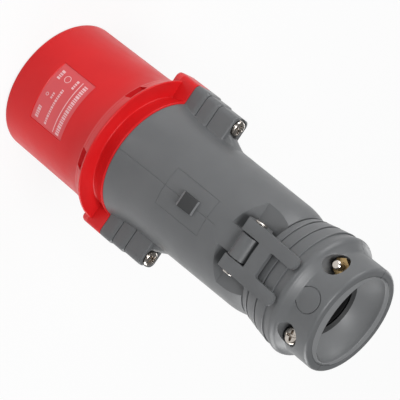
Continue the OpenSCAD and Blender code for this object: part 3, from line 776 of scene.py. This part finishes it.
def clampSection():
    # outside of a half as [r, z] from the front to the mouth's edge
    c = clamp
    collarZ = clampEndZ - c["collarLength"]
    edge = c["ribBreak"]
    points = []
    for a, b in zip(c["ribStarts"], c["ribEnds"]):
        z0, z1 = clampZ + a, clampZ + b
        low, high = skirtRadius(z0), skirtRadius(z1)
        points += [[low - c["groove"], z0], [low - edge, z0 + edge], [low, z0 + 0.4]]
        points += [[skirtRadius(z), z] for z in np.linspace(z0 + 1, z1 - 1, 4)]
        points += [[high, z1 - 0.4], [high - edge, z1 - edge], [high - c["groove"], z1]]
    # the bulge's crest, the hollow ahead of the collar, the collar and the rim's edge, as arcs
    crest, crestR = collarZ - c["crestAhead"], c["crestRound"]
    hollow, collarR, rimR = c["collarFillet"], c["collarR"], c["rimRound"]
    points += arc(bulgeR - crestR, crest + 1.2, crestR, -25, 62, 10).tolist()
    points += arc(collarR + hollow, collarZ + 1.8, hollow, 228, 180, 8).tolist()
    points += [[collarR, z] for z in np.linspace(collarZ + 3, clampEndZ - 2.2, 6)]
    points += arc(collarR - rimR, clampEndZ - rimR, rimR, 0, 90, 8).tolist()
    return np.array(points)


def mouthRadius(t, angle, halfHeight):
    # the oval mouth as an ellipse in polar form; t is 0 at the rim and 1 at the throat, and the
    # wall starts straight and closes in towards the throat
    c = clamp
    fall = 1 - t ** c["mouthPower"]
    wide = c["throatR"] + (c["mouthHalfWidth"] - c["throatR"]) * fall
    high = c["throatR"] + (halfHeight - c["throatR"]) * fall
    return wide * high / np.hypot(high * np.cos(angle), wide * np.sin(angle))


def sweepRows(section, columns):
    # a section of [r, z] points repeated over every column
    section = np.asarray(section, float)
    return np.repeat(section[:, :1], columns, 1), np.repeat(section[:, 1:], columns, 1)


def makeClampHalf(name, turned):
    # a section loop swept over half a turn, closed by flat faces along the split; the half is
    # made on the latch side and turned round for the key side
    c = clamp
    angle = np.radians(np.linspace(180, 360, 121))
    columns = len(angle)
    outR, outZ = sweepRows(clampSection(), columns)
    # rim: flat band, a fine line round it, the land, a small round and the wall of the oval mouth
    lineR = c["lineR"]
    rim = [[lineR + 0.22, clampEndZ], [lineR + 0.08, clampEndZ - 0.3], [lineR - 0.08, clampEndZ - 0.3],
           [lineR - 0.22, clampEndZ - 0.05]]
    rimR, rimZ = sweepRows(rim, columns)
    halfHeight = c["mouthHalfHeights"][1 if turned else 0]
    open0 = mouthRadius(0.0, angle, halfHeight)
    bend, edge = np.radians(np.linspace(0, 80, 5))[:, None], c["mouthRound"]
    edgeR = open0[None] + edge - edge * np.sin(bend)
    edgeZ = clampEndZ - c["mouthDrop"] - edge + edge * np.cos(bend) + 0 * edgeR
    t = np.linspace(0, 1, 18)[:, None]
    wallZ = clampEndZ - c["wallStart"] - (c["mouthDepth"] - c["wallStart"]) * t
    bellR = np.concatenate([edgeR, mouthRadius(t, angle[None], halfHeight)])
    bellZ = np.concatenate([edgeZ, wallZ + 0 * open0[None]])
    # the liner's groove, the saddle that grips the cable, and the seat of the neck's ring
    linerStart, linerEnd = clampEndZ - c["linerStart"], clampEndZ - c["linerEnd"]
    saddleStart, saddleEnd = clampEndZ - c["saddleStart"], clampEndZ - c["saddleEnd"]
    seat = [[c["linerR"], linerStart], [c["linerR"], linerEnd], [c["throatR"], saddleStart],
            [c["saddleR"], saddleStart - 0.01], [c["saddleR"], saddleEnd], [c["throatR"], saddleEnd - 0.01],
            [c["throatR"], c["ringEnd"]], [c["ringR"], c["ringEnd"]], [c["ringR"], c["ringStart"]],
            [c["neckR"], c["ringStart"]], [c["neckR"], clampZ]]
    seatR, seatZ = sweepRows(seat, columns)
    r = np.concatenate([outR, rimR, bellR, seatR])
    z = np.concatenate([outZ, rimZ, bellZ, seatZ])
    x = r * np.cos(angle)[None]
    y = r * np.sin(angle)[None] - c["splitGap"]
    y[:, 0] = y[:, -1] = -c["splitGap"]
    points = np.stack([x, y, z], -1)
    rows = points.shape[0]
    faces = gridFaces(rows, columns, False, True)
    faces.append([i * columns for i in range(rows)])
    faces.append([i * columns + columns - 1 for i in range(rows)][::-1])
    piece = newPiece(name, points, faces)
    # the mouth's wall has painted light, and the throat behind it painted shade
    giveMaterials(piece, greyPlastic, greyLand, greyMatt)
    corners = points.reshape(-1, 3)
    centre = np.array([corners[list(face)].mean(0) for face in faces])
    below = clampEndZ - centre[:, 2]
    inner = np.hypot(centre[:, 0], centre[:, 1]) < lineR - 0.5
    inner[-2:] = False
    zone = np.where(below < c["mouthDepth"] - 1.5, 1, 2) * inner
    piece.data.polygons.foreach_set("material_index", zone.astype(np.int32))
    cuts = []
    for v, seatY in ((1, c["headSeat"]), (-1, c["nutSeat"])):
        cuts.append(rod("well", [v * gripScrewX, -seatY, gripScrewZ], c["headWellR"], farOut, [0, -1, 0]))
        cuts.append(rod("hole", [v * gripScrewX, 5, gripScrewZ], bores["gripScrew"], farOut, [0, -1, 0]))
    if not turned:
        mark = curvedRing(emblem["z"], emblem["radius"], 0, c["collarR"], -emblem["depth"], 0.5,
                          emblem["half"])
        cuts.append(newPiece("mark", *mark))
    # the split opens into a thin wedge on both sides of the throat
    slitEnd, slitStart = clampEndZ - c["slitEnd"], clampEndZ - c["slitStart"]
    slit = [[1.1, slitEnd], [-1.0, slitEnd], [0.0, slitStart], [1.1, slitStart]]
    near, far = c["slitReach"]
    cuts += [prism("slit", slit, near, far), prism("slit", slit, -far, -near)]
    combine(piece, cuts, "DIFFERENCE")
    if turned:
        piece.data.transform(Matrix.Rotation(math.pi, 4, "Z"))
    return piece


def makeLiner():
    # a plain rubber ring in the throat, behind the mouth: a rectangle swept round the axis
    c = clamp
    gap, count = 0.05, 120
    outer, inner = c["linerR"] - gap, c["throatR"] + gap
    low, high = clampEndZ - c["linerEnd"] + gap, clampEndZ - c["linerStart"] - gap
    r, z = sweepRows([[inner, low], [outer, low], [outer, high], [inner, high]], count)
    turn = np.linspace(0, 2 * np.pi, count, endpoint=False)[None]
    points = np.stack([r * np.cos(turn), r * np.sin(turn), z], -1)
    return newPiece("throatLiner", points, gridFaces(4, count, True, True))


screw = {
    "headR": 3.8,
    "headH": 2.8,
    "rimWidth": 1.0,  # the head's rounded rim: its run and its fall
    "rimFall": 1.15,
    "crown": 0.25,  # how far the head's top falls towards its rim
    "shankR": 1.95,
    "tip": 0.4,
    "recessDepth": 1.7,
    "recessHalf": 0.62,
    "recessReach": 2.5,
    "recessTaper": 1.1,
    "recessWall": 0.16,
}


def makeScrew(name, place, direction, length, spin=0.0):
    # the head is a polar height field: a crown that falls with the square of the radius, less a
    # quarter circle at the rim and a tapered cross recess; then rings down the plain shank
    s = screw
    count = 120
    angle = np.linspace(0, 2 * np.pi, count, endpoint=False)
    flatR = s["headR"] - s["rimWidth"]
    rimRings = flatR + s["rimWidth"] * np.sin(np.radians(np.linspace(8, 90, 9)))
    a, rho = np.meshgrid(angle, np.concatenate([np.linspace(0.06, flatR, 34), rimRings]))
    x, y = rho * np.cos(a), rho * np.sin(a)
    past = np.clip((rho - flatR) / s["rimWidth"], 0, 1)
    height = s["headH"] - s["crown"] * (rho / s["headR"]) ** 2 - (1 - np.sqrt(1 - past ** 2)) * s["rimFall"]
    u, v = x * math.cos(spin) + y * math.sin(spin), y * math.cos(spin) - x * math.sin(spin)
    across, along = np.minimum(abs(u), abs(v)), np.maximum(abs(u), abs(v))
    reach = np.clip((s["recessReach"] - along) / s["recessTaper"], 0, 1)
    arm = np.clip((s["recessHalf"] * (0.6 + 0.4 * reach) - across) / s["recessWall"], 0, 1)
    height = height - s["recessDepth"] * reach * arm
    head = np.stack([x, y, height], -1)[::-1]
    lower = [[s["headR"], 1.0], [s["headR"] - 0.15, 0.0], [s["shankR"], 0.0],
             [s["shankR"], s["tip"] - length], [s["shankR"] - s["tip"], -length]]
    lowR, lowZ = sweepRows(lower[::-1], count)
    shank = np.stack([lowR * np.cos(angle), lowR * np.sin(angle), lowZ], -1)
    points = np.concatenate([shank, head])
    rows = points.shape[0]
    faces = gridFaces(rows, count)
    faces.append(list(range(count))[::-1])
    faces.append(list(range((rows - 1) * count, rows * count)))
    turn = np.array(Vector(direction).to_track_quat("Z", "Y").to_matrix())
    return newPiece(name, points.reshape(-1, 3) @ turn.T + np.array(place), faces, 40)


def smoothCopy(node, name):
    # the frame node's own shape with its loose triangles merged and its round faces smooth
    mesh = frame["nodes"][node].data.copy()
    piece = bpy.data.objects.new(name, mesh)
    bpy.context.scene.collection.objects.link(piece)
    work = bmesh.new()
    work.from_mesh(mesh)
    bmesh.ops.remove_doubles(work, verts=work.verts, dist=0.002 * mm)
    work.to_mesh(mesh)
    work.free()
    smooth(piece, 30)
    return piece


class Recipe:
    # a node material with short calls for the nodes that the finishes share
    def __init__(self, name):
        self.material = bpy.data.materials.new(name)
        self.material.use_nodes = True
        self.nodes = self.material.node_tree.nodes
        self.links = self.material.node_tree.links
        self.shader = self.nodes["Principled BSDF"]
        self.place = self.nodes.new("ShaderNodeTexCoord").outputs["Object"]

    def link(self, a, b):
        self.links.new(a, b)

    def noise(self, scale, detail):
        node = self.nodes.new("ShaderNodeTexNoise")
        node.inputs["Scale"].default_value = scale
        node.inputs["Detail"].default_value = detail
        self.link(self.place, node.inputs["Vector"])
        return node.outputs["Fac"]

    def addShare(self, value, other, share):
        # value plus a share of the other
        node = self.nodes.new("ShaderNodeMath")
        node.operation = "MULTIPLY_ADD"
        self.link(other, node.inputs[0])
        node.inputs[1].default_value = share
        self.link(value, node.inputs[2])
        return node.outputs[0]

    def span(self, value, a, b, lo, hi):
        # the value's range from a to b becomes one from lo to hi
        node = self.nodes.new("ShaderNodeMapRange")
        self.link(value, node.inputs["Value"])
        for key, v in (("From Min", a), ("From Max", b), ("To Min", lo), ("To Max", hi)):
            node.inputs[key].default_value = v
        return node.outputs["Result"]

    def mix(self, factor, a, b):
        node = self.nodes.new("ShaderNodeMix")
        node.data_type = "RGBA"
        self.link(factor, node.inputs["Factor"])
        for key, colour in (("A", a), ("B", b)):
            socket = [s for s in node.inputs if s.name == key and s.type == "RGBA"][0]
            socket.default_value = (*colour, 1)
        return [s for s in node.outputs if s.type == "RGBA"][0]

    def bump(self, height, strength, distance):
        node = self.nodes.new("ShaderNodeBump")
        node.inputs["Strength"].default_value = strength
        node.inputs["Distance"].default_value = distance
        self.link(height, node.inputs["Height"])
        self.link(node.outputs["Normal"], self.shader.inputs["Normal"])


def plasticRecipe(name, base, worn, roughness, grain=0.12, gloss0=0.34):
    # moulded plastic: slight tone change, fine satin grain, a little flow unevenness in the gloss
    r = Recipe(name)
    tone = r.noise(38, 3)
    r.link(r.mix(r.span(tone, 0.35, 0.7, 0, 1), base, worn), r.shader.inputs["Base Color"])
    gloss = r.noise(160, 4)
    r.link(r.span(gloss, 0.3, 0.7, roughness - 0.05, roughness + 0.06), r.shader.inputs["Roughness"])
    r.bump(r.addShare(r.noise(2600, 2), r.noise(700, 3), 0.6), grain, 0.00012)
    r.shader.inputs["Specular IOR Level"].default_value = gloss0
    return r


def metalRecipe(name, base, tint, roughness):
    # plated metal: two close tones, a gloss that varies and a very fine grain
    r = Recipe(name)
    tone = r.noise(160, 2)
    r.link(r.mix(r.span(tone, 0.35, 0.7, 0, 1), base, tint), r.shader.inputs["Base Color"])
    r.shader.inputs["Metallic"].default_value = 1.0
    gloss = r.noise(900, 4)
    r.link(r.span(gloss, 0.3, 0.7, roughness - 0.06, roughness + 0.08), r.shader.inputs["Roughness"])
    r.bump(r.noise(1200, 2), 0.04, 0.00003)
    return r


redPlastic = plasticRecipe("redPlastic", (0.58, 0.010, 0.012), (0.63, 0.013, 0.015), 0.34, 0.12, 0.26)
redField = plasticRecipe("redField", (0.62, 0.075, 0.085), (0.67, 0.095, 0.105), 0.5, 0.2)
# painted light: the sloping rim's band is lighter and pinker than the rest of the sleeve
redRim = plasticRecipe("redRim", (0.62, 0.036, 0.038), (0.67, 0.05, 0.052), 0.36)
# painted shade: a darker red for the pockets in the flange's sloping rim
redDeep = plasticRecipe("redDeep", (0.50, 0.002, 0.004), (0.54, 0.003, 0.006), 0.55, 0.1, 0.1)
greyPlastic = plasticRecipe("greyPlastic", (0.112, 0.116, 0.120), (0.128, 0.132, 0.136), 0.36)
# painted light: a lighter grey for the lug's front and end and for the clamp mouth's wall
greyLand = plasticRecipe("greyLand", (0.185, 0.19, 0.195), (0.21, 0.215, 0.22), 0.42)
# painted shade: a dark grey for the lug's sides and sloping top and for the clamp's throat
greyMatt = plasticRecipe("greyMatt", (0.040, 0.041, 0.042), (0.052, 0.053, 0.054), 0.6, 0.3, 0.2)
darkPlastic = plasticRecipe("darkPlastic", (0.035, 0.036, 0.038), (0.045, 0.046, 0.048), 0.45)
rubber = plasticRecipe("rubber", (0.010, 0.010, 0.011), (0.016, 0.016, 0.017), 0.65, 0.25, 0.2)
printInk = plasticRecipe("printInk", (0.80, 0.50, 0.52), (0.74, 0.42, 0.44), 0.5, 0.05)
zincSteel = metalRecipe("zincSteel", (0.66, 0.62, 0.58), (0.50, 0.45, 0.40), 0.2)
brassMetal = metalRecipe("brassMetal", (0.46, 0.33, 0.16), (0.38, 0.26, 0.12), 0.24)
contactMetal = metalRecipe("contactMetal", (0.80, 0.74, 0.62), (0.74, 0.66, 0.50), 0.2)

finish = {
    "red_plastic": redPlastic,
    "grey_plastic": greyPlastic,
    "dark_plastic": darkPlastic,
    "rubber": rubber,
    "zinc_steel": zincSteel,
    "brass": brassMetal,
    "contact_metal": contactMetal,
}


def dress(piece, slot, body, *nodes):
    # the slot's finish, unless the piece has zones of its own; then its body, slot and nodes
    if len(piece.data.materials) < 2:
        piece.data.materials.clear()
        piece.data.materials.append(finish[slot].material)
    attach(piece, body)
    if nodes:
        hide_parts(*nodes)


dress(makeSleeve(), "red_plastic", "plug", "front_sleeve")
ink = makePrint()
ink.data.materials.append(printInk.material)
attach(ink, "plug")
print("sleeve made")
dress(makeHousing(), "grey_plastic", "plug", "rear_housing")
print("housing made")
dress(makeLever(), "grey_plastic", "latch", "latch_lever")
print("lever made")
dress(makeClampHalf("clampLatchSide", False), "grey_plastic", "plug", "clamp_half_latch_side")
dress(makeClampHalf("clampKeySide", True), "grey_plastic", "plug", "clamp_half_key_side")
dress(makeLiner(), "rubber", "plug")
print("clamp made")

earSeat = earScrewHi[2] - screw["headH"]
earScrews = ((-1, "earScrewLeft", "housing_screw_left"), (1, "earScrewRight", "housing_screw_right"))
for side, name, node in earScrews:
    place = [side * earScrewX, 0, earSeat]
    piece = makeScrew(name, place, [0, 0, 1], earSeat - earScrewLo[2], 0.5 + side * 0.4)
    dress(piece, "zinc_steel", "plug", node)
gripScrews = ((-1, "gripScrewLeft", "clamp_screw_left"), (1, "gripScrewRight", "clamp_screw_right"))
for side, name, node in gripScrews:
    place = [side * gripScrewX, -side * clamp["headSeat"], gripScrewZ]
    length = clamp["headSeat"] + clamp["screwReach"]
    dress(makeScrew(name, place, [0, -side, 0], length, 0.3), "zinc_steel", "plug", node)
print("screws made")

# every node that no piece above replaces gets a smooth copy of its own shape
for subpart in frame["record"]["subparts"]:
    node, slot = subpart["node"], subpart["material_slot"]
    if frame["nodes"][node].hide_render:
        continue
    words = node.split("_")
    piece = smoothCopy(node, words[0] + "".join(w.capitalize() for w in words[1:]))
    dress(piece, slot, "plug", node)
print("small pieces made")

stage = {
    "cameraPlace": [-0.1290, -0.7701, 0.5784],
    "viewDirection": [0.1411, 0.8398, -0.5243],
    "upDirection": [-0.8205, -0.1972, -0.5365],
    "lens": 187.9,
    "floorSize": 6.0,
    "floorWhite": 0.88,  # how white the floor is to the camera, and in reflections
    "floorMirrored": 0.45,
    "worldStrength": 0.18,
}

cameraData = bpy.data.cameras.new("camera")
cameraData.lens = stage["lens"]
cameraData.sensor_width = 36
cameraData.clip_start = 0.01
camera = bpy.data.objects.new("camera", cameraData)
forward = Vector(stage["viewDirection"]).normalized()
up = Vector(stage["upDirection"])
up = (up - forward * up.dot(forward)).normalized()
right = forward.cross(up)
turn = Matrix((right, up, -forward)).transposed().to_4x4()
camera.matrix_world = Matrix.Translation(Vector(stage["cameraPlace"])) @ turn
bpy.context.scene.collection.objects.link(camera)
bpy.context.scene.camera = camera


def paleSurface(name, keep, keepGlossy):
    # white to the camera and, more weakly, in reflections, with a share of its lit colour that
    # keeps the shadow
    material = bpy.data.materials.new(name)
    material.use_nodes = True
    nodes, links = material.node_tree.nodes, material.node_tree.links
    nodes.clear()
    out = nodes.new("ShaderNodeOutputMaterial")
    lit = nodes.new("ShaderNodeBsdfDiffuse")
    lit.inputs["Color"].default_value = (0.8, 0.8, 0.8, 1)
    glow = nodes.new("ShaderNodeEmission")
    glow.inputs["Strength"].default_value = 1.0
    path = nodes.new("ShaderNodeLightPath")
    mirrored = nodes.new("ShaderNodeMath")
    mirrored.operation = "MAXIMUM"
    links.new(path.outputs["Is Glossy Ray"], mirrored.inputs[0])
    links.new(path.outputs["Is Transmission Ray"], mirrored.inputs[1])
    weak = nodes.new("ShaderNodeMath")
    weak.operation = "MULTIPLY"
    weak.inputs[1].default_value = keepGlossy
    links.new(mirrored.outputs[0], weak.inputs[0])
    share = nodes.new("ShaderNodeMath")
    share.operation = "MULTIPLY_ADD"
    share.inputs[1].default_value = keep
    links.new(path.outputs["Is Camera Ray"], share.inputs[0])
    links.new(weak.outputs[0], share.inputs[2])
    mix = nodes.new("ShaderNodeMixShader")
    links.new(share.outputs[0], mix.inputs["Fac"])
    links.new(lit.outputs[0], mix.inputs[1])
    links.new(glow.outputs[0], mix.inputs[2])
    links.new(mix.outputs[0], out.inputs["Surface"])
    return material


half = stage["floorSize"] / 2
floorMesh = bpy.data.meshes.new("floor")
floorCorners = [(-half, -half, 0), (half, -half, 0), (half, half, 0), (-half, half, 0)]
floorMesh.from_pydata(floorCorners, [], [[0, 1, 2, 3]])
floor = bpy.data.objects.new("floor", floorMesh)
floor.location.z = -0.0005
bpy.context.scene.collection.objects.link(floor)
floorMesh.materials.append(paleSurface("paleFloor", stage["floorWhite"], stage["floorMirrored"]))

world = bpy.data.worlds.new("studio")
bpy.context.scene.world = world
world.use_nodes = True
background = world.node_tree.nodes["Background"]
background.inputs["Color"].default_value = (1, 1, 1, 1)
background.inputs["Strength"].default_value = stage["worldStrength"]

lamps = {  # places and sizes in metres, power in watts, all aimed at the plug's middle
    "sideLight": {"place": [0.95, 0.30, 0.25], "size": 0.8, "power": 10},
    "backLight": {"place": [-0.25, 1.0, 0.10], "size": 0.6, "power": 3},
    "keyLight": {"place": [-0.90, -0.10, 0.30], "size": 0.6, "power": 4.5},
    "topLight": {"place": [-0.10, -0.55, 1.10], "size": 0.45, "power": 9},
    "frontLight": {"place": [-0.20, -1.0, 0.06], "size": 0.3, "power": 1.6},
}
for name, lamp in lamps.items():
    data = bpy.data.lights.new(name, "AREA")
    data.shape = "SQUARE"
    data.size = lamp["size"]
    data.energy = lamp["power"]
    lightObject = bpy.data.objects.new(name, data)
    place = Vector(lamp["place"])
    lightObject.location = place
    lightObject.rotation_mode = "QUATERNION"
    lightObject.rotation_quaternion = (Vector((0, 0, 0.1)) - place).to_track_quat("-Z", "Y")
    bpy.context.scene.collection.objects.link(lightObject)

bpy.context.scene.view_settings.view_transform = "Standard"
